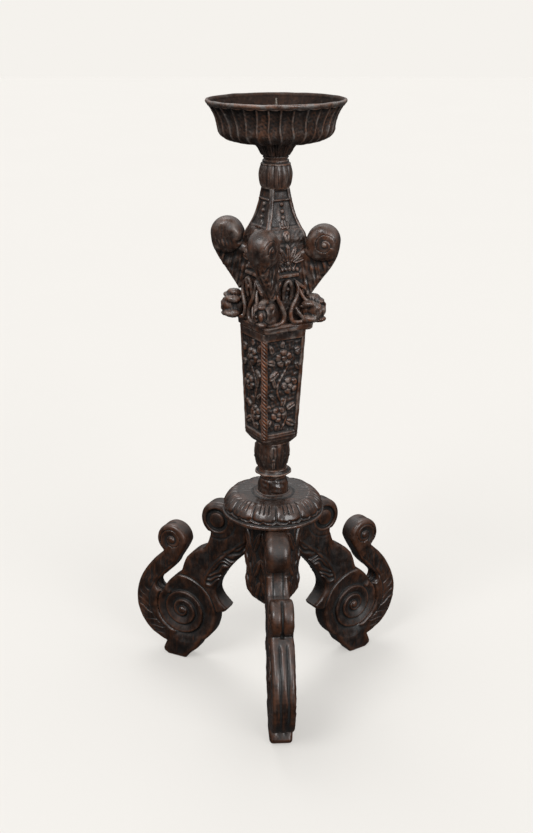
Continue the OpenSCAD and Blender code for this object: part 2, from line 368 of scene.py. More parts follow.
class Graph:
    """Short names for the node types the materials use."""

    def __init__(self, tree):
        self.tree = tree

    def fill(self, node, inputs):
        """Links or sets a node's inputs, which are given by name or place."""
        for key, value in inputs.items():
            if isinstance(value, bpy.types.NodeSocket):
                self.tree.links.new(value, node.inputs[key])
            else:
                node.inputs[key].default_value = value
        return node

    def add(self, kind, inputs=None, **settings):
        node = self.tree.nodes.new("ShaderNode" + kind)
        for key, value in settings.items():
            setattr(node, key, value)
        return self.fill(node, inputs or {})

    def math(self, operation, a, b, clamp=False):
        return self.add("Math", {0: a, 1: b}, operation=operation, use_clamp=clamp).outputs[0]

    def times(self, a, b, clamp=False):
        return self.math("MULTIPLY", a, b, clamp)

    def plus(self, a, b, clamp=False):
        return self.math("ADD", a, b, clamp)

    def noise(self, vector, scale, detail=4.0, rough=0.55, distort=0.0):
        node = self.add("TexNoise", {"Vector": vector, "Scale": scale, "Detail": detail,
                                     "Roughness": rough, "Distortion": distort})
        return node.outputs["Fac"]

    def stretch(self, vector, scale):
        return self.add("Mapping", {"Vector": vector, "Scale": scale}).outputs[0]

    def steps(self, value, lo, hi, to_lo=0.0, to_hi=1.0):
        """A smooth step from to_lo, where value is lo, to to_hi, where it is hi."""
        return self.add("MapRange", {"Value": value, "From Min": lo, "From Max": hi, "To Min": to_lo,
                                     "To Max": to_hi}, interpolation_type="SMOOTHSTEP").outputs[0]

    def mix(self, factor, a, b):
        return self.add("Mix", {0: factor, 6: a, 7: b}, data_type="RGBA").outputs[2]

    def attribute(self, name):
        return self.add("Attribute", attribute_name=name).outputs["Fac"]

    def bump(self, height, strength, distance):
        return self.add("Bump", {"Height": height, "Strength": strength, "Distance": distance}).outputs[0]


def node_material(name):
    """A new material, with its graph and its shader."""
    mat = bpy.data.materials.new(name)
    mat.use_nodes = True
    mat.node_tree.nodes.clear()
    g = Graph(mat.node_tree)
    out, shader = g.add("OutputMaterial"), g.add("BsdfPrincipled")
    g.fill(out, {0: shader.outputs[0]})
    return mat, g, shader


def shade(colour, share=1.0):
    """A colour with its alpha, dimmed to `share` of its brightness."""
    return (*(share * c for c in colour), 1)


def wood(name, dark, mid, high, dust_and_sheen, wear=1.0, grey=0.0, shine=0.0, rough=1.0, pale=0.4, polish=1.0):
    """Old stained wood: painted shade in the cuts, rubbed warm on the high spots with a grey painted
    highlight on their crests, dusty on top. The four colours run from the cuts to the dust, which is
    also the painted highlight. wear is how far the high spots are rubbed and painted lighter, grey how
    dusty it is on top, shine how smooth, rough how deep the bump, pale how much of the dust and
    painted highlight colour the rubbed spots take, and polish how much of the usual gloss there is."""
    mat, g, shader = node_material(name)
    place = g.add("TexCoord").outputs["Object"]
    fine, broad = g.attribute("fine_relief"), g.attribute("broad_relief")
    grain = g.noise(g.stretch(place, (260, 260, 0.12 * 260)), 1.0, 5.0, 0.6, 0.4)
    pores = g.noise(g.stretch(place, (900, 900, 0.12 * 900)), 1.0, 3.0, 0.6)
    patches = g.noise(place, 16.0, 4.0, 0.6)
    blots = g.noise(place, 55.0, 5.0, 0.65)
    flecks = g.noise(place, 330.0, 3.0, 0.6)
    up = g.add("SeparateXYZ", {0: g.add("NewGeometry").outputs["Normal"]}).outputs[2]
    black, deep, dark, mid, high, dust_and_sheen = (shade(dark, 0.45), shade(dark, 0.3), shade(dark), shade(mid),
                                          shade(high), shade(dust_and_sheen))

    def lay(colour, mask, lo, hi, share):
        """The wood so far, with a share of a colour where the mask is high."""
        return g.mix(g.times(g.steps(mask, lo, hi), share), body, colour)

    body = g.mix(g.steps(patches, 0.35, 0.66), dark, mid)
    body = lay(high, grain, 0.48, 0.72, 0.45)
    warm = g.noise(g.stretch(place, (34, 34, 15)), 1.0, 4.0, 0.6)
    body = lay(high, warm, 0.52, 0.68, 0.5)
    body = lay(black, pores, 0.55, 0.7, 0.6)
    bloom = g.noise(place, 80.0, 5.0, 0.7)
    body = lay(dust_and_sheen, bloom, 0.53, 0.68, 0.42)
    grime = g.noise(g.stretch(place, (130, 130, 70)), 1.0, 5.0, 0.7)
    body = lay(deep, grime, 0.5, 0.62, 0.6)
    # rubbed high spots: real wear, which also stands in as a painted highlight
    rub_and_sheen = g.plus(g.times(g.steps(fine, 0.08, 0.95), 0.7), g.steps(broad, 0.05, 1.0))
    rub_and_sheen = g.times(rub_and_sheen, g.steps(blots, 0.36, 0.62, 0.18, 1.0))
    rub_and_sheen = g.times(rub_and_sheen, 0.75 * wear, clamp=True)
    # the rubbed crests run from warm wear to grey, partly dust and partly a painted highlight
    crest = g.mix(g.plus(g.steps(bloom, 0.4, 0.6, -0.4, 0.4), pale, clamp=True), high, dust_and_sheen)
    body = g.mix(rub_and_sheen, body, crest)
    chip = g.times(g.steps(flecks, 0.63, 0.72), g.steps(g.plus(fine, broad), 0.1, 0.9))
    body = g.mix(g.times(chip, 0.55 * wear), body, dust_and_sheen)
    lie = g.times(g.steps(up, 0.35, 1.0), g.steps(blots, 0.3, 0.7, 0.25, 1.0))
    body = g.mix(g.times(lie, 0.32 + grey, clamp=True), body, dust_and_sheen)
    # painted shade: the cuts and sunk places, and the bowl's darkened inside, go towards the deep colour
    cut = g.plus(g.steps(fine, -0.02, -0.8), g.times(g.steps(broad, -0.05, -0.9), 0.8))
    cut = g.plus(cut, g.times(g.steps(broad, -1.0, -1.6), 0.15))
    body = g.mix(g.times(cut, 0.72, clamp=True), body, deep)

    gloss = g.steps(blots, 0.32, 0.70, 0.24 - shine, 0.50 - 2 * shine)
    gloss = g.plus(gloss, g.times(cut, 0.25))
    gloss = g.math("SUBTRACT", gloss, g.times(rub_and_sheen, 0.1), clamp=True)

    height = g.plus(g.times(grain, 0.5), g.times(pores, 0.35))
    height = g.plus(height, g.times(blots, 0.9))
    height = g.plus(height, g.times(flecks, 0.35))
    g.fill(shader, {"Base Color": body, "Roughness": gloss, "Specular IOR Level": 0.5 * polish,
                    "Coat Weight": 0.2 * polish, "Coat Roughness": 0.22,
                    "Normal": g.bump(height, 0.6 * rough, 0.0012)})
    return mat


def iron(name):
    """Hand-forged iron, dull with rust in patches and brighter along drawn streaks."""
    mat, g, shader = node_material(name)
    place = g.add("TexCoord").outputs["Object"]
    rust = g.noise(place, 240.0, 5.0, 0.6)
    draw = g.noise(g.stretch(place, (900, 900, 60)), 1.0, 4.0, 0.6)
    body = g.mix(g.steps(rust, 0.4, 0.66), shade((0.17, 0.15, 0.13)), shade((0.07, 0.04, 0.026)))
    body = g.mix(g.steps(draw, 0.5, 0.7), body, shade((0.26, 0.24, 0.21)))
    g.fill(shader, {"Base Color": body, "Roughness": g.steps(rust, 0.38, 0.66, 0.36, 0.72), "Metallic": 0.75,
                    "Normal": g.bump(rust, 0.4, 0.0005)})
    return mat


CARVED = wood("carved wood", (0.013, 0.0085, 0.0072), (0.034, 0.0200, 0.0150), (0.125, 0.048, 0.023),
              (0.17, 0.140, 0.122), wear=0.85)
BASE_WOOD = wood("base wood", (0.0055, 0.0032, 0.0025), (0.0165, 0.0082, 0.0052), (0.085, 0.028, 0.0105),
                 (0.064, 0.049, 0.041), wear=0.75, grey=-0.1, shine=0.05, rough=0.15)
# a darker copy of the wood: painted shade for the low legs and the hub
SHADED_LEG_WOOD = wood("shaded leg wood", (0.0042, 0.0025, 0.0019), (0.0150, 0.0070, 0.0042), (0.082, 0.0285, 0.0115),
                (0.052, 0.037, 0.030), wear=0.55, shine=-0.05, rough=0.4, pale=0.0)
# more worn wood that is also painted lighter: a lit copy for the knop, which sits in the bowl's shade
WORN_AND_LIT_WOOD = wood("worn and lit wood", (0.034, 0.0215, 0.0175), (0.090, 0.0500, 0.0360), (0.210, 0.088, 0.044),
            (0.30, 0.255, 0.225), wear=0.9, shine=0.03, rough=0.7)
ROPE_WOOD = wood("rope wood", (0.018, 0.0095, 0.0068), (0.050, 0.0215, 0.0125), (0.190, 0.064, 0.026),
                 (0.12, 0.078, 0.055), wear=0.8, shine=-0.06, rough=0.7, pale=0.0)
# pale=0.6 makes the rubbed crests on the bowl and calyx mostly the grey painted highlight
BOWL_WOOD, BOWL_INSIDE = (
    wood(name, (0.024, 0.0160, 0.0130), (0.060, 0.034, 0.0245), (0.185, 0.078, 0.040),
         (0.17, 0.152, 0.140), wear=0.8, grey=-0.2, pale=0.6, polish=polish)
    for name, polish in (("bowl wood", 1.0), ("bowl inside", 0.1)))
DOWEL = wood("dowel wood", (0.12, 0.07, 0.04), (0.2, 0.125, 0.075), (0.3, 0.2, 0.13), (0.36, 0.32, 0.28),
             wear=0.4)
IRON = iron("iron")


# ---------------- stage, camera and lights

PAPER = (0.913, 0.888, 0.847)


def make_floor():
    """Pale paper that glows a little, so that the lamps' shadows on it stay soft."""
    mesh = bpy.data.meshes.new("floor")
    reach = 14.0
    corners = [(x * reach, y * reach, 0) for x, y in ((-1, -1), (1, -1), (1, 1), (-1, 1))]
    mesh.from_pydata(corners, [], [(0, 1, 2, 3)])
    mat, g, shader = node_material("studio floor")
    soft = g.noise(g.add("TexCoord").outputs["Object"], 1.3, 2.0)
    body = g.mix(soft, shade(PAPER, 0.37), shade(PAPER, 0.38))
    g.fill(shader, {"Base Color": body, "Roughness": 0.9, "Specular IOR Level": 0.0,
                    "Emission Color": shade(PAPER), "Emission Strength": 0.443})
    mesh.materials.append(mat)
    obj = bpy.data.objects.new("floor", mesh)
    obj.visible_diffuse = obj.visible_glossy = False
    bpy.context.collection.objects.link(obj)


def make_camera():
    """The photo's viewpoint, solved from the silhouettes."""
    az, pitch, tilt = math.radians(-5.0), math.radians(19.84), math.radians(0.336)
    heading = math.radians(-4.642)
    distance, height, focal_px, photo_px = 1871.6, 1166.0, 1210.0, 833.0
    data = bpy.data.cameras.new("camera")
    data.sensor_width = 36.0
    data.lens = focal_px / photo_px * data.sensor_width
    data.clip_start, data.clip_end = 0.05, 60
    ahead = np.array([-math.sin(heading) * math.cos(pitch), math.cos(heading) * math.cos(pitch),
                      -math.sin(pitch)])
    right = np.array([math.cos(heading), math.sin(heading), 0])
    up = np.cross(right, ahead)
    right, up = (right * math.cos(tilt) + up * math.sin(tilt),
                 up * math.cos(tilt) - right * math.sin(tilt))
    m = np.eye(4)
    m[:3, 0], m[:3, 1], m[:3, 2] = right, up, -ahead
    m[:3, 3] = np.array([distance * math.sin(az), -distance * math.cos(az), height]) * MM
    cam = bpy.data.objects.new("camera", data)
    cam.matrix_world = Matrix(m.tolist())
    bpy.context.collection.objects.link(cam)
    bpy.context.scene.camera = cam


def soft_sun(name, way, strength, spread):
    """Even light that travels along `way`, as soft as a lamp `spread` degrees wide."""
    data = bpy.data.lights.new(name, "SUN")
    data.energy, data.angle = strength, math.radians(spread)
    lamp = bpy.data.objects.new(name, data)
    lamp.rotation_mode = "QUATERNION"
    lamp.rotation_quaternion = Vector(way).to_track_quat("-Z", "Y")
    bpy.context.collection.objects.link(lamp)


def make_lights():
    """Dim soft surroundings for the object, with the paper's colour behind it."""
    world = bpy.data.worlds.new("studio")
    world.use_nodes = True
    world.node_tree.nodes.clear()
    g = Graph(world.node_tree)
    height = g.add("SeparateXYZ", {0: g.add("TexCoord").outputs["Generated"]}).outputs[2]
    around = g.add("Background", {"Color": (1, 1, 1, 1),
                                  "Strength": g.steps(height, -0.1, 0.7, 0.05, 0.85)})
    behind = g.add("Background", {"Color": shade(PAPER), "Strength": 1.0})
    seen = g.add("LightPath").outputs["Is Camera Ray"]
    mix = g.add("MixShader", {0: seen, 1: around.outputs[0], 2: behind.outputs[0]})
    g.add("OutputWorld", {0: mix.outputs[0]})
    bpy.context.scene.world = world
    soft_sun("key", (0.70, 0.80, -1.0), 1.6, 26)
    soft_sun("front", (-0.62, 1.0, -0.45), 1.7, 34)
    soft_sun("top", (0.1, -0.5, -1.0), 0.8, 30)


make_floor()
make_camera()
make_lights()
bpy.context.scene.view_settings.view_transform = "Standard"


# ---------------- bowl

FLUTES = 32
BOWL_FLOOR = TOP - 50
BOWL_STEP, BOWL_COLUMNS = 1.1, 1024


def bowl_relief(theta, r, z, s):
    """Hollow flutes with round ridges between them, under a thin rim with a scalloped lip."""
    lean = 0.10 * wobble(theta * 14, z * 0.7, 18, 3) + 0.05 * wobble(theta * 60, z, 30, 4)
    k = np.abs((theta * FLUTES / TAU + lean) % 1.0 - 0.5) * 2
    hollow = np.sqrt(np.clip(1 - (k / 0.88) ** 2.4, 0, 1))
    lobe = roll(k, 1)
    lip = TOP - 6.4 - 2.6 * lobe
    below = ease(lip - z, -0.4, 1.2)
    outer = s < outer_run
    h = -3.6 * ease(r, 26, 84) * hollow * below + 0.8 * ridge(z - lip - 0.6, 1.0) * lobe
    hand = 0.35 * wobble(theta * 100, z, 24, 5) + 0.2 * wobble(theta * 100, z, 6, 6)
    inside = 0.3 * wobble(r * np.cos(theta), r * np.sin(theta) + z, 26, 7)
    return (h + hand * below) * outer + inside * ~outer


BOWL_FOOT = [22, BOWL_Z + 0.4]
bowl_outside = np.concatenate([
    curve(*above(BOWL_Z, (34, 0.6), (62, 2.5), (88, 3.5)), [90, TOP - 41], 30),
    curve(*above(TOP, (90, -41), (91.5, -28), (96, -17), (104.6, -6.6)), 20),
    curve(*above(TOP, (104.6, -6.6), (106.4, -5.4), (107.4, -4), (107.2, -2.4)), 6),
    curve(*above(TOP, (107.2, -2.4), (107, -0.8), (106, -0.1), (104, -0.1)), 6)])
bowl_inside = np.concatenate([
    curve(*above(TOP, (104, -0.1), (101, -0.1), (99.4, -1.4), (98, -5)), 6),
    curve(*above(TOP, (98, -5), (85, -24), (82, -48), (54, -49.6)), 24), [[3.4, BOWL_FLOOR]]])
outer_run = float(np.linalg.norm(np.diff([BOWL_FOOT, *bowl_outside], axis=0), axis=1).sum()) - 3
bowl = add_lathe("bowl_carved", [BOWL_FOOT, *bowl_outside, *bowl_inside], bowl_relief, BOWL_COLUMNS,
                 BOWL_WOOD, ["bowl"], BOWL_STEP)
inside_row = int(outer_run / (BOWL_STEP * FINE) + 4)
# painted shade: the bowl's inside is darkened as if it were sunk deep
darken(bowl, inside_row * int(BOWL_COLUMNS / FINE), 1.8, BOWL_INSIDE)
# the bowl's rim stands a hair higher on its right
BOWL_TILT, BOWL_DROP = Matrix.Rotation(math.radians(-0.45), 4, "Y"), 0.9
bowl.data.transform(Matrix.Translation((0, 0, (TOP - BOWL_DROP) * MM)) @ BOWL_TILT
                    @ Matrix.Translation((0, 0, -TOP * MM)))


# ---------------- pricket

def forged(theta, r, z, s):
    """Hammer marks, with a shallow neck every 8 mm."""
    return 0.22 * wobble(theta * r * 3, z, 9, 11) - 0.25 * ridge((z - TOP + 18) % 8 - 4, 0.8)


add_lathe("pricket_forged", [[2.9, BOWL_FLOOR - 1], [3.0, BOWL_FLOOR + 6],
                             *above(TOP, (3.0, -16.5), (1.9, -7), (0.7, -0.4))],
          forged, 40, IRON, ["pricket"], 0.6)


# ---------------- calyx and knop

def petals(theta, count, shift=0.0):
    """Place across the nearest of `count` equal petals: 0 on its middle, 1 at its edge."""
    u = (theta * count / TAU + shift) % 1.0
    return np.abs(u - 0.5) * 2


def calyx_relief(theta, r, z, s):
    """Leaves that swell towards the bowl, over a row of beads."""
    k = petals(theta, 11)
    t = np.clip((z - CALYX_Z - 3.5) / (BOWL_Z - CALYX_Z - 3.5), 0, 1)
    leaf = 3.8 * roll(k, 1) - 2.2 - 0.8 * ridge(k, 0.16) * (1 - t)
    leaf = leaf + 2.4 * ease(t, 0.55, 0.95) * (1 - k**2) - 1.4 * ridge(k - 0.55, 0.12) * ease(t, 0.1, 0.5)
    foot = CALYX_Z + 2.0
    bead = 1.2 * roll(z - foot, 1.5) * (0.45 + 0.55 * roll(petals(theta, 26), 1))
    return leaf * ease(z, foot + 1.5, foot + 3.5) + bead + 0.15 * wobble(theta * 25, z, 9, 12)


add_lathe("calyx_carved", [*above(CALYX_Z, (4, 0), (19, 0)),
                           *curve(*above(CALYX_Z, (18.8, 3), (22.5, 7), (26.5, 13)), [28.6, BOWL_Z - 0.5]),
                           *above(BOWL_Z, (29.4, 1.2), (4, 1.4))],
          calyx_relief, 420, BOWL_WOOD, ["calyx"], 0.6)


def knop_relief(theta, r, z, s):
    """Plump lobes that rise to two thin scalloped bands."""
    k = petals(theta, 12, 0.35)
    body = within(z, KNOP_Z + 2, KNOP_Z + 36, 6)
    lobe = 2.9 * (roll(0.98 * k, 1) - 0.72) * body
    lobe = lobe - 0.9 * ridge(k, 0.10) * body * within(z, KNOP_Z + 6, KNOP_Z + 24, 10)
    scallop = 0.5 + 0.5 * roll(petals(theta, 9, 0.2), 1)
    bands = 1.3 * scallop * (roll(z - KNOP_Z - 41.6, 1.8) + 0.8 * roll(z - KNOP_Z - 36.6, 1.6))
    return lobe + bands + 0.2 * wobble(theta * 26, z, 12, 14)


# the knop's wood is painted lighter, against the bowl's shade
add_lathe("knop_carved", [
    [4, KNOP_Z], *curve(*above(KNOP_Z, (21.2, 0), (27, 11), (28.2, 29)), [18.2, CALYX_Z - 2], 24),
    *above(CALYX_Z, (17.8, -0.2), (4, 0))], knop_relief, 440, WORN_AND_LIT_WOOD, ["upper_knop"], 0.7)


# ---------------- neck

def dome_at(y, z, cy, cz, r, tall):
    """Round bead or boss on a face."""
    return tall * np.sqrt(np.clip(1 - ((y - cy) ** 2 + (z - cz) ** 2) / r**2, 0, 1))


def leaf_at(y, z, cy, cz, way, length, width, tall):
    """Pointed leaf with a sunk vein, from its foot at (cy, cz) along the angle `way`."""
    a = math.radians(way)
    u = ((y - cy) * math.cos(a) + (z - cz) * math.sin(a)) / length
    v = (-(y - cy) * math.sin(a) + (z - cz) * math.cos(a)) / (width / 2)
    half = np.sqrt(np.clip(np.sin(np.pi * np.clip(u, 0, 1) ** 0.75), 0, 1)) + 1e-6
    body = roll(v, half) * ((u > 0) & (u < 1)) * np.minimum(1, half * 1.4)
    return tall * body * (1 - 0.35 * ridge(v, 0.22))


def neck_relief(side, y, z, w):
    """Sunk panels with a bar and a row of beads, over small leaves that are fainter at the back."""
    c = w - np.abs(y)
    rib = 1.5 * roll(c - 2.8, 3.0)
    field = -1.4 * ease(c, 5.0, 6.2) * within(z, NECK_Z + 4, NECK_Z + 57, 3)
    bar = 1.9 * within(z, NECK_Z + 41.5, NECK_Z + 44.5, 2.0) * ease(c, 3.2, 4.4)
    beads = sum(dome_at(y, z, 0, NECK_Z + h, 3.5, 3.8) for h in (36.5, 26.5, 17))
    leaf = np.maximum.reduce([leaf_at(y, z, at, NECK_Z + foot, way, length, width, tall)
                              for at, foot, way, length, width, tall in
                              ((0, 1, 90, 14, 11, 2.4), (-2, 0, 118, 12, 8, 2.0), (2, 0, 62, 12, 8, 2.0))])
    return rib + field + bar + beads + (0.3 if side < 2 else 1) * leaf + 0.2 * wobble(y, z, 11, 20 + side)


add_square("neck_carved", curve(*above(NECK_Z, (31, 0), (22, 19), (19, 39)), [16, KNOP_Z], 20),
           neck_relief, 84, CARVED, ["neck"], 0.7)


# ---------------- lower baluster, collar, base neck

def baluster_relief(theta, r, z, s):
    """Worn reeds, with a hanging husk on each side."""
    k = petals(theta, 10, 0.25)
    up = z - BALUSTER_Z
    body = within(up, 3, 44, 5)
    reed = 2.3 * (roll(0.97 * k, 1) - 0.75) * body
    across = ((theta * 4 / TAU + 0.5) % 1.0 - 0.5) * TAU / 4 * 26
    husk = np.maximum.reduce([leaf_at(across, up, 0, 44, -90, 26, 13, 3.4),
                              leaf_at(across, up, 0, 20, -90, 18, 7, 2.6),
                              dome_at(across, up, 0, 20.5, 3.6, 3.4)])
    return np.maximum(reed, husk - 0.6) + 0.3 * wobble(theta * 28, z, 13, 31)


baluster = add_lathe("baluster_carved", [
    [4, BALUSTER_Z], *curve(*above(BALUSTER_Z, (23.0, 0), (24.5, 6), (27, 14), (27.2, 24))),
    *curve(*above(BALUSTER_Z, (27.2, 24), (27.2, 32)), *above(SHAFT_Z, (26.5, -8), (26.2, 0))), [4, SHAFT_Z]],
    baluster_relief, 440, CARVED, ["lower_baluster"], 0.7)


def collar_relief(theta, r, z, s):
    """Slight unevenness of hand turning."""
    return 0.35 * wobble(theta * 30, z, 12, 34)


add_lathe("collar_turned", [
    *above(COLLAR_Z, (4, 0), (21.5, 0), (22.5, 4)),
    *curve(*above(COLLAR_Z, (23.5, 6), (29, 5.6), (30.6, 6.8), (30.2, 9))),
    *curve(*above(COLLAR_Z, (30.2, 9), (29.6, 11), (28.4, 9.8), (26.5, 8))),
    *curve(*above(COLLAR_Z, (26.5, 8), (24.8, 8), (23.6, 11)), [23.6, BALUSTER_Z]), [4, BALUSTER_Z]],
    collar_relief, 420, CARVED, ["collar_ring"], 0.6)


def base_neck_relief(theta, r, z, s):
    """Rough chisel facets, much rubbed."""
    facets = 0.8 * wobble(theta * 24, z * 0.7, 16, 36) + 0.35 * wobble(theta * 24, z, 8, 37)
    return facets * within(z, DOME_TOP_Z, COLLAR_Z - 2, 5) + 0.7 * ridge(z - DOME_TOP_Z - 4, 1.8)


add_lathe("base_neck_carved", [
    *above(DOME_TOP_Z, (4, -2), (25, -2), (24.6, 0)),
    *curve(*above(DOME_TOP_Z, (23.8, 2), (27.5, 9), (25.5, 24)), [21, COLLAR_Z - 3]),
    *above(COLLAR_Z, (21.6, 0), (4, 0))],
    base_neck_relief, 400, BASE_WOOD, ["base_neck"], 0.7)


# ---------------- dome

def dome_relief(theta, r, z, s):
    """Shells with short gouges at their heads, over a wavy ribbon and a rolled rim."""
    up, n = z - DOME_Z, 12
    u = (theta * n / TAU + 0.03 * wobble(theta * 40, 0, 30, 40)) % 1.0 - 0.5
    k = np.abs(u) * 2
    side = ease(r, 56, 62)
    swell = 2.5 * roll(k, 0.97) * within(up, 14.5 + 4 * k**2, 36.5, 5)
    gouge = np.clip(np.cos(u * 5 * TAU), -0.2, 1) ** 2 * within(up, 25.5 + 4 * k**2, 36.0 - 1.5 * k**2, 3)
    worked = ease(wobble(theta * 40, 0, 34, 43), -0.9, 0.1)
    fan = -2.4 * gouge * worked * (1 - ease(k, 0.55, 0.75)) - 1.2 * ridge(1 - k, 0.09) * within(up, 15, 33, 5)
    wave = 11.8 + 1.2 * np.cos(theta * 2 * n) + 0.7 * np.cos(theta * 4 * n + 1)
    ribbon = (1.1 * ridge(up - wave, 1.2) - 0.7 * ridge(up - wave - 2.6, 1.2)) * side
    rings = 0.8 * ridge(r - 31, 2.0) - 0.5 * ridge(r - 36, 2.2)
    rim = -1.0 * ridge(up - 8.6, 1.1) * side
    flat = r * np.cos(theta), r * np.sin(theta)
    hand = 0.5 * wobble(*flat, 24, 41) + 0.2 * wobble(*flat, 7, 42)
    return ((swell + fan) * side + ribbon + rings) * (up > 6) + rim + hand


add_lathe("dome_carved", [
    *above(DOME_Z, (46, 0), (DOME_R - 3, 0)), *arc([DOME_R - 4.4, DOME_Z + 4.3], 4.3, -60, 62, 10),
    *curve(*above(DOME_Z, (DOME_R - 3.4, 9.5), (DOME_R - 4, 22), (DOME_R - 14, 35), (60, 36.5)), 16),
    *curve(*above(DOME_Z, (60, 36.5), (46, 38)), *above(DOME_TOP_Z, (33, 1), (27.2, 9)), 12),
    [19, DOME_TOP_Z + 8.6]], dome_relief, 720, BASE_WOOD, ["dome"], 0.8)


# ---------------- hub

def hub_relief(face, y, z, w):
    """Upright leaves on the block between the legs."""
    t = (z - HUB_Z) / (DOME_Z - HUB_Z)
    centre = 2.0 * roll(y - 1.5 * np.sin(t * 7), 3.2) * within(t, 0.04, 0.9, 0.06)
    lobes = [leaf_at(y, z, side * 3, HUB_Z + up, 90 - side * lean, 44, 15, 4.0)
             for side in (-1, 1) for up, lean in ((6, 24), (50, 28), (98, 26))]
    lobes += [leaf_at(y, z, side * 10, HUB_Z + up, 90 + side * 8, 40, 9, 3.0)
              for side in (-1, 1) for up in (20, 72)]
    carved = np.maximum.reduce([*lobes, centre])
    return carved + 0.5 * wobble(y, z, 12, 49) + 0.35 * wobble(y, z, 30, 50 + face) - 2.4


HUB_W = HUB_R * math.cos(math.pi / 6)
add_square("hub_carved", [*above(HUB_Z, (36 * 0.9, 0), (HUB_W - 8, 7), (HUB_W - 1, 20)),
                          [HUB_W - 0.4, DOME_Z - 0.5]],
           hub_relief, 50, SHADED_LEG_WOOD, ["hub"], 1.0, sharp=16, turn=30, sides=6)


# ---------------- legs

# middles of a leg's big spiral, of its top scroll and of its curl, as [out, up]
WHEEL = np.array([172.0, 98.0])
SCROLL = np.array([99.0, 290.0])
CURL = np.array([190.5, 232.5])
WHEEL_PITCH = 16.5
BOSS = 2.0  # how far the CAD leg's scroll discs stand off its plank
HALF_T = span("leg_front")[1][0] - BOSS


def arm_edge():
    """Outer edge of the leg's arm, from the foot up to the curl."""
    return [curve([206, 27], [242, 37], [267, 66], [266.4, 104], 14),
            curve([266.4, 108], [266.4, 142], [240, 178], [208, 208], 14)]


def leg_outline():
    """The sawn outline of a leg, as [out from the stem, up]."""
    back = [curve([42, 240], [66, 216], [92, 190], [102, 160]),
            curve([103.5, 153], [104, 140], [94, 130], [81.5, 121]),
            curve([84, 116], [89, 111], [95, 109], [103.5, 108], 6)]
    foot = [[143, 25], [161, 8.5], [167, 0], [202, 0], [211, 5], [213, 11]]
    slot = [curve([164, 224], [169, 213], [176, 203], [183, 191], 6),
            curve([186, 184], [196, 169], [212, 157], [222, 146], 8),
            curve([225, 140], [226, 132], [220, 126], [213, 128], 6),
            curve([208, 136], [204, 146], [196, 156], [178, 169.5], 8),
            curve([174, 173], [170, 180], [169, 192], [161, 206], 6)]
    shoulder = [curve([159, 208], [152, 217], [144, 224], [132, 228.7], 8),
                curve([128, 230], [121, 236], [115, 248], [114, 264], 8)]
    return np.concatenate([*back, arc(WHEEL, 68, 175, 236, 16), foot, *arm_edge(),
                           arc(CURL, 29, -48, 185, 28), *slot, *shoulder,
                           arc(SCROLL, 32, -55, 90, 20), [[42, 322]]])


def along(x, y, line):
    """Distance to a line, and how far along it the nearest point lies."""
    best = np.full(x.shape, 1e9)
    place = np.zeros(x.shape)
    run = 0.0
    for p0, p1 in zip(line[:-1], line[1:]):
        d = p1 - p0
        length = math.hypot(*d)
        if length < 1e-6:
            continue
        t = np.clip(((x - p0[0]) * d[0] + (y - p0[1]) * d[1]) / length**2, 0, 1)
        far = np.hypot(x - p0[0] - t * d[0], y - p0[1] - t * d[1])
        near = far < best
        best = np.where(near, far, best)
        place = np.where(near, run + t * length, place)
        run += length
    return best, place


def snail(x, y, centre, start, r0, pitch, eye, deep, way=1):
    """Carved scroll: each turn stands up at its outer edge and slopes in to the next groove.
    Returns the height, where it applies, and the distance from the centre."""
    dx, dy = x - centre[0], y - centre[1]
    rho = np.hypot(dx, dy)
    turn = ((start - np.degrees(np.arctan2(dy, dx))) * way % 360) / 360
    u = (r0 - pitch * turn - rho) / pitch
    f = u % 1.0
    band = -deep * f**1.25 * ease(f, 0.0, 0.12) - deep * (1 - ease(f, 0.0, 0.16))
    button = -deep * 0.2 + 2.4 * roll(rho, eye) - 1.4 * ridge(rho - eye, 1.6)
    return np.where(rho < eye, button, band), u > 0, rho


def chips(s, across, pitch, slant, tall):
    """Row of overlapping leaf chips along s, slanting with the distance across."""
    f = ((s + slant * across) / pitch) % 1.0
    return tall * (f**1.4 - 0.45) * (1 - ease(f, 0.82, 1.0)) - tall * 0.5 * ease(f, 0.82, 1.0)


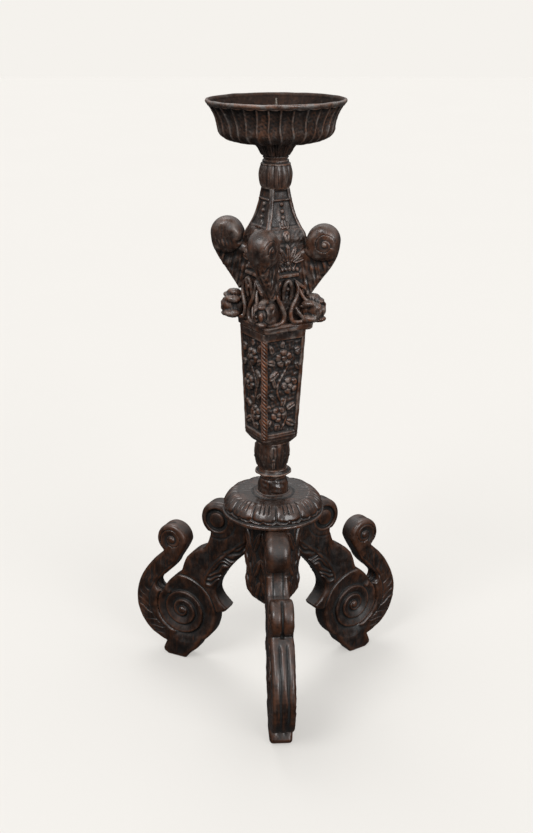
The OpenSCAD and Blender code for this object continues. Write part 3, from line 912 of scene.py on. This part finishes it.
def side_relief(x, y):
    """Height of the carving on a leg's two faces, over the plank's own face."""
    arm = resample(arm_edge(), 3.0)
    off, s = along(x, y, arm)
    out = 0.4 * wobble(x, y, 34, 61) + 0.25 * wobble(x, y, 12, 62)

    wheel, on_wheel, rho = snail(x, y, WHEEL, 45, 53, WHEEL_PITCH, 7.0, 6.0)
    turn = (45 - np.degrees(np.arctan2(y - WHEEL[1], x - WHEEL[0]))) % 360
    groove = 53 - WHEEL_PITCH * turn / 360
    # the outermost turn is a raised rim over the top, the inner side and the bottom
    rim = np.interp(turn, [0, 110, 135, 235, 330, 360], [62, 62, 66, 67, 69.5, 67])
    f = np.clip((rim - rho) / (rim - groove), 0, 1)
    outer_turn = within(turn, 118, 352, 14)
    slope = -6.0 * f**1.2 * ease(f, 0, 0.06)
    lip = np.where(rho < rim, slope * outer_turn, 0)
    lip = lip - 3.0 * ridge(rho - rim - 1.8, 1.7) * within(turn, 205, 352, 16)
    lip = lip - 2.6 * ridge(rho - groove, 1.8) * (1 - outer_turn)

    on_arm = (off < 40) * (1 - ease(off, 26, 28)) * (1 - ease(y, 196, 206)) * ease(s, 4, 14)
    bend = s + 9 * wobble(x, y, 34, 66)
    tuft = ease(wobble(x, y, 26, 69), -0.5, 0.3)
    leaf = chips(bend, off, 23, 1.0, 1.3) * (0.45 + 0.55 * tuft)
    leaf = (leaf + 0.35 * np.cos((bend + 1.1 * off) * TAU / 7.5) * tuft) * on_arm * ease(off, 4, 9)
    strip = -1.1 * ridge(off - 27.5, 1.2) * ease(s, 10, 24) * (1 - ease(y, 196, 206))

    # the body is smooth in its outer half and has a gouged leaf along its inner half
    body = ease(rho, 73, 76) * (x < 168)
    edge = resample([curve([42, 262], [74, 236], [112, 206], [124, 168]),
                     curve([124, 160], [122, 148], [116, 140], [112, 132])], 3.0)
    side_off, _ = along(x, y, edge)
    inner = x < np.interp(y, [130, 168, 206, 236, 262], [112, 124, 107, 84, 42])
    gouged = body * inner * within(y, 158, 262, 12)
    strokes = np.cos((y + 0.3 * x + 5 * np.sin(x / 8.0) + 3 * wobble(x, y, 30, 67)) * TAU / 10.5)
    strokes = 1.7 * np.sign(strokes) * np.abs(strokes)**0.7 * (0.75 + 0.35 * wobble(x, y, 22, 68)) - 0.5
    ridge_line = 1.2 * ridge(side_off, 2.2) * body * within(y, 158, 262, 12)
    inner_leaf = strokes * gouged * ease(side_off, 2, 5)

    far = np.hypot(x - SCROLL[0], y - SCROLL[1])
    scroll = np.where(far < 14, 2.2 * roll(far, 14) - 0.8, 0)
    scroll = scroll - 4.2 * within(far, 14, 20.5, 1.6)
    scroll = scroll + 0.8 * ridge(far - 23, 1.8) - 0.9 * ridge(far - 35, 2.2) * (y < 285)

    curl, on_curl, far = snail(x, y, CURL, -60, 25, 12.5, 6.5, 3.0, way=-1)
    curl_on = on_curl & (far < 26)

    out = out + leaf + strip + inner_leaf + ridge_line + scroll
    out = np.where(on_wheel, wheel + 0.2 * wobble(x, y, 20, 63), out + lip)
    return np.where(curl_on, curl, out)


def edge_relief(x, y, t):
    """Height of the mouldings that run round the leg's edge, by place and distance across."""
    arm = within(y, 22, 196, 14) * (x > 206)
    ribs = (1.9 * ridge(t - 6.6, 2.6) + 1.6 * ridge(t + 5.4, 2.6) + 0.5 * wobble(t, y * 0.12, 7, 72)) * arm
    head = (np.hypot(x - CURL[0], y - CURL[1]) < 34) * ease(x, 184, 198)
    lobes = 3.8 * ridge(t, 2.6) * head
    front = np.hypot(x - SCROLL[0], y - SCROLL[1]) < 38
    band = 1.6 * ease(np.abs(t), 9, 17) * front
    body = (x > 100) * within(y, 200, 262, 10) * (x < 160)
    vein = 1.2 * (ridge(t - 8, 1.6) + ridge(t + 8, 1.6)) * body
    return ribs + lobes + band + vein


def leg_mesh(drop=0.0, stout=0.0):
    """One leg's surface. drop lowers its curl, which stands at another height on each leg, and
    stout is added to each face of its plank."""
    step = 1.15 * FINE
    low, x, y, t = plank_grid((40.5, -3.0), (232.0, 46.0, 330.0), step)
    lowered = y + drop * ease(x, 118, 160) * ease(y, 120, 200)
    flat = outline_distance(x, lowered, leg_outline())
    tall = side_relief(x, lowered)
    ends = ease(x, 43, 47)
    foot = 1 - ease(y, 6, 12)
    tall = tall * ends * (1 - foot * (np.abs(x - 184) < 30))
    half = HALF_T - 0.6 + stout + tall
    cross = edge_relief(x[:, None, :], lowered[:, None, :], t)
    field = both(flat[:, None, :] + cross, np.abs(t) - half[:, None, :], 7.0)
    clear_of_floor = 0.02 - y[:, None, :]
    return surface_of(np.maximum(field, clear_of_floor), low, step)


FRONT_DROP, FRONT_STOUT = 9.0, 1.8
side_leg, front_leg = leg_mesh(), leg_mesh(FRONT_DROP, FRONT_STOUT)
for node, az in LEG_AZ.items():
    verts, quads = front_leg if node == "leg_front" else side_leg
    add_mesh(node + "_carved", placed(verts, az), quads, SHADED_LEG_WOOD, [node])


# ---------------- capital

CORE_W = 41.0  # half the capital's width


def palmette(y, z):
    """Fan of seven leaves over a pair of small scrolls and a row of buds."""
    foot = CAPITAL_Z + 98
    fan = [leaf_at(y, z, 0.12 * way, foot, 90 - way, 28.5 - abs(way) * 0.06, 10.0, 5.4)
           for way in range(-78, 79, 26)]
    scrolls = []
    for side in (-1, 1):
        rho = np.hypot(y - side * 9, z - foot + 4)
        scrolls.append(3.2 * ridge(rho - 4.6, 1.5) * (rho < 7) + 2.6 * (rho < 2.6) * (1 - rho / 2.8))
    buds = [dome_at(y, z, at, foot - 10 - abs(at) * 0.12, 3.8, 4.0) for at in (-17, -10, -3.4, 3.4, 10, 17)]
    cup = dome_at(y, z, 0, foot - 1, 5.0, 4.8)
    return np.maximum.reduce([*fan, *scrolls, *buds, cup])


def capital_relief(side, y, z, w):
    """Palmette over a bar, with a slanting ledge to each side of it."""
    c = w - np.abs(y)
    rib = 1.4 * roll(c - 3, 3.0) * ease(z, CAPITAL_Z + 118, CAPITAL_Z + 130)
    back = -1.4 * within(z, CAPITAL_Z + 84, CAPITAL_Z + 130, 8) * ease(c, 3, 7)
    crest = np.maximum(leaf_at(y, z, 0, NECK_Z - 2, -90, 17, 13, 3.0), dome_at(y, z, 0, NECK_Z - 6, 4, 3.6))
    crest = crest * (0.3 if side < 2 else 1)
    bar = 4.6 * within(np.abs(y), -30, 19, 2.0) * within(z, CAPITAL_Z + 74.5, CAPITAL_Z + 80, 1.6)
    bar = bar - 1.2 * ridge(np.abs(y) - 14.5, 1.2) * (bar > 0.5)
    slant = z - CAPITAL_Z - 70 + (np.abs(y) - 13) * 0.72
    ledge = within(slant, -6.5, 0.5, 2.0) * within(np.abs(y), 13, 36, 3)
    return (rib + back + palmette(y, z) + crest + bar + 5.6 * ledge + 0.3 * wobble(y, z, 15, 70 + side)
            + 0.2 * wobble(y, z, 5, 75 + side))


add_square("capital_carved", [
    [CORE_W - 5, CAPITAL_Z],
    *curve(*above(CAPITAL_Z, (CORE_W - 4, 8), (CORE_W + 1, 24), (CORE_W - 3, 50), (CORE_W - 1.5, 74))),
    *curve(*above(CAPITAL_Z, (CORE_W - 1.5, 80), (CORE_W - 2, 104), (CORE_W + 1, 130)),
           [31, NECK_Z - 0.2], 24)],
    capital_relief, 96, CARVED, ["capital"], 0.9)


def tube(points, radii, around=12):
    """Vertices and quads of a round strand through the points, with rounded ends."""
    p = resample([np.array(points, float)], 1.3)
    n = len(p)
    f = np.linspace(0, 1, n)
    size = np.interp(f, np.linspace(0, 1, len(radii)), radii)
    ends = np.sqrt(np.clip(1 - (1 - np.clip(np.minimum(f, 1 - f) * n / 2.6, 0, 1)) ** 2, 0.02, 1))
    size = size * ends
    t = np.gradient(p, axis=0)
    t /= np.linalg.norm(t, axis=1)[:, None]
    out = np.array([1.0, 0, 0])
    a = np.cross(t, out)
    a /= np.linalg.norm(a, axis=1)[:, None] + 1e-9
    b = np.cross(a, t)
    ang = np.arange(around) / around * TAU
    ring = (a[:, None] * np.cos(ang)[None, :, None] + b[:, None] * np.sin(ang)[None, :, None])
    verts = p[:, None] + ring * size[:, None, None]
    return verts.reshape(-1, 3), grid_quads(n, around)[:, ::-1]


def smooth_line(points, n=10):
    """Rounded line through the points."""
    p = np.array(points, float)
    q = np.concatenate([[2 * p[0] - p[1]], p, [2 * p[-1] - p[-2]]])
    t = np.linspace(0, 1, n, endpoint=False)[:, None]
    out = []
    for a, b, c, d in zip(q[:-3], q[1:-2], q[2:-1], q[3:]):
        out.append(0.5 * (2 * b + (c - a) * t + (2 * a - 5 * b + 4 * c - d) * t**2
                          + (3 * b - a - 3 * c + d) * t**3))
    return np.concatenate([*out, p[-1:]])


# Each strand of a face's ribbons: its points as [out, across, up from the capital's foot], and
# its radius from end to end.
STRANDS = (
    (((42, -8.5, 38), (44, -9.5, 50), (45.5, -8.0, 63), (46, -2.5, 70), (45.5, 3.0, 64), (44, 4.6, 50),
      (42, 3.4, 38)), (2.2, 3.0, 3.4, 3.0, 2.2)),
    (((42, -18, 66), (44.5, -22, 54), (46, -21, 44), (47, -14, 31), (48, -9.5, 18), (48.5, -13, 7),
      (49, -24, 3.5), (50, -36, 4.5), (53, -46, 8)), (2.4, 3.2, 3.6, 3.6, 3.4, 2.4)),
    (((42, 13, 68), (44.5, 16.5, 56), (45.5, 13, 42), (46.5, 6, 30), (47.5, 1.5, 17), (48.5, 5.5, 6),
      (49, 16, 3.5), (50, 28, 5)), (2.4, 3.2, 3.6, 3.6, 3.4, 2.4)),
    (((45, 11, 28), (48.5, 17, 17), (50.5, 25, 9), (53, 36, 7.5), (58, 48, 9)), (2.2, 3.2, 3.8, 3.6, 2.6)),
    (((45, 19, 27), (49.5, 28, 27), (54, 38, 23), (61, 50, 20)), (2.2, 3.2, 3.8, 3.0)),
    (((45, -27, 36), (49, -31, 27), (52, -36, 20), (57, -45, 19)), (2.2, 3.2, 3.6, 2.8)),
    (((42, 20, 56), (45, 23, 46), (47.5, 28, 38), (52, 36, 33)), (2, 3.0, 3.2, 2.4)),
    (((44.5, -2.6, 60), (45.2, -2.6, 56.5), (44.5, -2.6, 53)), (3.2, 3.6, 2.6)))


def add_ribbons(name, az):
    """Round carved strands that loop under the bar and sweep out to the two corners."""
    verts, quads, base = [], [], 0
    for points, radii in STRANDS:
        v, q = tube(smooth_line(np.array(points) + [0, 0, CAPITAL_Z]), 0.88 * np.array(radii))
        verts.append(v)
        quads.append(q + base)
        base += len(v)
    add_mesh(name, placed(np.concatenate(verts), az), np.concatenate(quads), CARVED)


for number in range(4):
    add_ribbons(f"capital_ribbons_{number + 1}", SQUARE_TURN + 90 * number)


# ---------------- volutes

HEAD = np.array([78.0, NECK_Z - 18])  # middle of a volute's head, as [out, up]


def volute_outline():
    """Side view of a volute, as [out from the stem, up]."""
    return np.concatenate([arc(HEAD, 26, 205, -8, 34),
                           curve(*above(NECK_Z, (103.4, -24), (102, -44), (92, -60), (78, -77))),
                           curve(*above(NECK_Z, (78, -77), (70, -88), (65, -96), (58, -106))),
                           above(NECK_Z, (40, -106), (40, -34), (52, -30))])


def volute_mesh(faint=0):
    """A volute's surface. The scroll is rubbed faint on the side that `faint` has the sign of."""
    step = 0.95 * FINE
    low, x, y, t = plank_grid((38.0, NECK_Z - 110), (69.0, 46.0, 124.0), step)
    flat = outline_distance(x, y, volute_outline())
    rho = np.hypot(x - HEAD[0], y - HEAD[1])
    curl, on_curl, _ = snail(x, y, HEAD + [5, -4], -20, 19.0, 9.0, 4.6, 2.4, way=-1)
    half = 13.5 + 6.5 * roll(rho, 31) + 0.35 * wobble(x, y, 14, 81)
    carved = 0.62 * np.where(on_curl, curl, 0) * ease(x, 44, 52)
    strokes = np.cos((x - 0.3 * y) * TAU / 6.0) * within(rho, 7, 19, 5) * ease(HEAD[1] - y, -2, 10)
    rubbed = 0.5 * wobble(x, y, 15, 83) - 0.5 * strokes * ease(wobble(x, y, 12, 88), -0.4, 0.5)
    tail = ease(HEAD[1] - 22 - y, 0, 14)
    outer_edge = volute_outline()[35:62]
    edge_off, edge_s = along(x, y, resample([outer_edge], 3.0))
    half = half - 3.5 * tail + chips(edge_s, edge_off, 13, 0.9, 1.7) * tail * ease(24 - edge_off, 0, 4)
    half = half + 1.1 * wobble(x, 0.7 * y, 8, 87) * tail
    outer_band = ease(x[:, None, :] - 60, 0, 20)
    rough = wobble(x, y, 9, 86)
    veins = 1.1 * (ridge(np.abs(t) - 6.5, 1.6) + 0.8 * ridge(t, 1.3))
    veins = veins * (tail * ease(rough, -0.6, 0.5))[:, None, :]
    crown = 4.0 * (t / 17.0) ** 2 * np.maximum(outer_band, ease(y[:, None, :], HEAD[1], HEAD[1] + 14))
    nick = 0.9 * np.cos((y[:, None, :] - 0.5 * np.abs(t)) * TAU / 8.5) * tail[:, None, :] * outer_band
    cross = crown + veins + nick * ease(np.abs(t), 3, 6)
    worn = t * faint > 0
    half = half[:, None, :] + carved[:, None, :] * (1 - 0.85 * worn) + rubbed[:, None, :] * worn
    field = both(flat[:, None, :] + cross, np.abs(t) - half, 9.0)
    return surface_of(field, low, step)


def turned_about(verts, pivot, degrees):
    """The vertices turned about an upright line through the pivot."""
    level = pivot * [1, 1, 0]
    return placed(verts - level, degrees) + level


# two volutes stand a little off their places, and the front one is swung aside
VOLUTE_SHIFT = {3: [-7.0, 0, -3.0], 4: [0, 0, 4.0]}
plain_volute, rubbed_volute = volute_mesh(), volute_mesh(faint=1)
for number, az in enumerate(CORNER_AZ, 1):
    verts, quads = rubbed_volute if number == 4 else plain_volute
    verts = placed(verts, az)
    if number == 1:
        verts = turned_about(verts, placed(np.array([[HEAD[0] - 20, 0, 0]]), az)[0], -14) + [7.0, 0, 0]
    verts = verts + VOLUTE_SHIFT.get(number, [0, 0, 0])
    add_mesh(f"volute_{number}_carved", verts, quads, CARVED, [f"volute_{number}"])


# ---------------- corner flowers under the volutes

def rosette_mesh():
    """Flower with a round heart, petals round it and a curled leaf under it."""
    step = 0.9 * FINE
    z0 = CAPITAL_Z
    low = np.array([46.0, -31.0, z0 - 10])
    count = (np.array([46.0, 62.0, 62.0]) / step).astype(int)
    x, y, z = np.meshgrid(*(low[i] + np.arange(count[i]) * step for i in range(3)), indexing="ij")

    def ball(cx, cy, up, rx, ry, rz):
        far = np.sqrt(((x - cx) / rx) ** 2 + ((y - cy) / ry) ** 2 + ((z - z0 - up) / rz) ** 2)
        return (far - 1) * min(rx, ry, rz)

    field = ball(60, 0, 22, 20, 17, 18)
    for side in (-1, 1):
        outer = ball(70, side * 12, 24, 12, 9, 14)
        hollow = ball(82, side * 8, 25, 9, 6.5, 11)
        field = either(field, both(outer, -hollow, 1.6), 1.2)
    field = either(field, ball(73, 1, 8, 11, 11, 5.5), 1.0)
    field = either(field, ball(71, -1, 38, 10, 9, 5.5), 1.0)
    field = either(field, ball(77, 0, 22, 7, 5.8, 9), 0.8)
    for side in (-1, 1):
        field = either(field, ball(62, side * 17, 12, 14, 9, 7), 3.0)
        field = either(field, ball(60, side * 15, 35, 12, 8, 6), 3.0)
    field = either(field, ball(62, 0, 43, 12, 9, 6), 3.0)
    field = both(field, z0 - 1.5 - z, 4.0)
    field = field + 0.35 * wobble(y + 2 * x, z, 8, 91)
    return surface_of(field, low, step)


# two flowers stand a little off their places, and the front one is narrower
rosette_verts, rosette_quads = rosette_mesh()
ROSETTE_SHIFT = {2: [0, 0, -3.5], 4: [-4.0, 0, -4.0]}
for number, az in enumerate(CORNER_AZ, 1):
    verts = rosette_verts
    if number == 1:
        verts = verts * [1, 0.72, 0.9] + [0, 0, 0.1 * (CAPITAL_Z + 16)]
    verts = placed(verts, az) + ROSETTE_SHIFT.get(number, [0, 0, 0])
    add_mesh(f"rosette_{number}_carved", verts, rosette_quads, CARVED, [f"rosette_{number}"])


# ---------------- abacus and shaft

def abacus_relief(side, y, z, w):
    """Slight unevenness of hand planing."""
    return 0.5 * wobble(y, z * 2, 22, 95 + side)


ABACUS_W = 46.0  # half the abacus's width
abacus = add_square("abacus_carved", [
    *above(ABACUS_Z, (20, 0), (ABACUS_W - 4, 0), (ABACUS_W - 1.2, 2.6)),
    *above(CAPITAL_Z, (ABACUS_W - 0.6, -3), (ABACUS_W - 3, 0), (20, 0))],
    abacus_relief, 80, CARVED, ["abacus"], 0.8, sharp=22)

SHAFT_FOOT_W, SHAFT_TOP_W = 32.9, 39.9  # half widths
# flowers on each face: place across as a share of the half width, height, and radius
FLOWERS = ((0.0, 150, 15.0), (0.36, 103, 14.5), (-0.16, 55, 13.5))
# leaves on each face: share of the half width, height, way in degrees, length and width
LEAVES = ((0.50, 161, 20, 12, 10), (0.62, 140, -60, 15, 10), (-0.40, 142, 160, 16, 12),
          (-0.52, 160, 110, 16, 10), (-0.10, 168, 80, 12, 9), (-0.22, 128, 215, 22, 13),
          (-0.34, 100, 110, 24, 8), (0.15, 82, -110, 16, 11), (-0.60, 66, 150, 11, 12),
          (-0.60, 48, 240, 15, 13), (0.28, 62, 30, 19, 12), (0.30, 42, -30, 20, 13),
          (-0.14, 38, -110, 13, 12), (-0.36, 82, 140, 14, 9))


def flower_at(y, z, cy, cz, r, turn):
    """Flower of five cupped petals round a domed heart."""
    rho = np.hypot(y - cy, z - cz)
    a = np.arctan2(z - cz, y - cy) + turn
    k = np.abs((a * 5 / TAU) % 1.0 - 0.5) * 2
    reach = r * (0.62 + 0.38 * np.sqrt(np.clip(1 - k**2.5, 0, 1)))
    f = rho / reach
    petal = roll(f - 0.62, 0.42) * roll(k, 1.02)
    cup = 1.2 + 4.2 * petal - 0.5 * ridge(f - 0.6, 0.2) * ridge(k, 0.4)
    heart = np.where(rho < r * 0.3, 3.6 + 3.4 * roll(rho, r * 0.3), 0)
    return np.maximum(cup * (f < 1), heart) - 0.9 * ridge(rho - r * 0.36, 0.9) * (f < 1)


def shaft_relief(side, y, z, w):
    """Sunk panel with a stem of flowers and leaves, beside the seat of the rope moulding."""
    up = z - SHAFT_Z
    c = w - np.abs(y)
    turn = 0.5 * side
    low, high = 23, 181
    rope_on = within(up, 12, 183, 4)
    rope = -2.0 * ridge(c, 4.2) * rope_on * (y * (1 if side % 2 == 0 else -1) > 0)
    panel = -3.6 * within(up, low, high, 1.6) * ease(c, 7.6, 8.8)
    fillet = 0.5 * ridge(c - 6.6, 0.8) * rope_on
    y = y * (1 if side % 2 else -1) if side > 1 else y
    items = [flower_at(y, up, share * w, height, r, turn + i) for i, (share, height, r) in enumerate(FLOWERS)]
    stem_y = 0.26 * w * np.sin((up - 26) * TAU / 96)
    stem = 2.4 * roll(y - stem_y, 2.2) * within(up, low + 4, 150, 4)
    items += [leaf_at(y, up, share * w, height, way, length, width, 4.0)
              for share, height, way, length, width in LEAVES]
    bud = dome_at(y, up, 0.66 * w, 158, 5.4, 5.0)
    carved = np.maximum.reduce([*items, bud, stem]) * within(up, low + 1, high - 1, 2) * ease(c, 6.5, 9.0)
    lower = 0.6 * ridge(up - 17, 1.2)
    hand = 0.3 * wobble(y, z, 16, 100 + side) + 0.5 * wobble(y, z, 7, 110 + side) * (panel < -2)
    return rope + panel + fillet + carved + lower + hand


shaft = add_square("shaft_carved", [
    *above(SHAFT_Z, (18, 0.3), (SHAFT_FOOT_W - 9, 0.3), (SHAFT_FOOT_W - 0.8, 11), (SHAFT_FOOT_W - 0.4, 15)),
    [SHAFT_TOP_W, ABACUS_Z - 0.5]], shaft_relief, 92, CARVED, ["shaft"], 0.85, sharp=20)
# the shaft's foot stands a little to the left of the bowl's axis, so that it leans
FOOT_OFF, LEAN = -4.2, 1.7 / (ABACUS_Z - SHAFT_Z)
SHAFT_SHIFT = Matrix.Translation(((FOOT_OFF - LEAN * SHAFT_Z) * MM, 0, 0))
SHAFT_SHIFT[0][2] = LEAN
shaft.data.transform(SHAFT_SHIFT)
for neighbour, off in ((baluster, -2.2), (abacus, 1.2)):
    neighbour.data.transform(Matrix.Translation((off * MM, 0, 0)))


def rope_mesh():
    """Twisted rope that runs up a corner of the shaft, as [out, across, up]."""
    rows, cols = int(172 / (0.7 * FINE)), int(48 / FINE)
    z = np.linspace(SHAFT_Z + 13, ABACUS_Z - 10, rows)[:, None]
    ang = (np.arange(cols) / cols * TAU)[None, :]
    f = (4 * ang / TAU + (z - SHAFT_Z) / 6.4) % 1.0
    r = 3.1 + 2.2 * roll(2 * f - 1, 1) + 0.15 * wobble(z, ang * 5, 9, 121)
    r = r * np.sqrt(np.clip(1 - (1 - np.clip(np.minimum(z - z[0], z[-1] - z) / 4, 0, 1)) ** 2, 0.03, 1))
    w = np.interp(z, [SHAFT_Z + 15, ABACUS_Z], [SHAFT_FOOT_W, SHAFT_TOP_W]) * math.sqrt(2) - 5.9
    verts = np.stack([w + r * np.cos(ang), r * np.sin(ang), z + 0 * r], -1).reshape(-1, 3)
    return verts, grid_quads(rows, cols), end_caps(rows, cols)


rope_verts, rope_quads, rope_caps = rope_mesh()
for number, az in ((1, CORNER_AZ[0]), (2, CORNER_AZ[2])):
    rope = add_mesh(f"shaft_rope_{number}", placed(rope_verts, az), rope_quads, ROPE_WOOD, (), rope_caps)
    rope.data.transform(SHAFT_SHIFT)


# ---------------- dowels

for node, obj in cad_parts.items():
    if node.endswith(("dowel", "dowels")):
        obj.data.materials.clear()
        obj.data.materials.append(DOWEL)
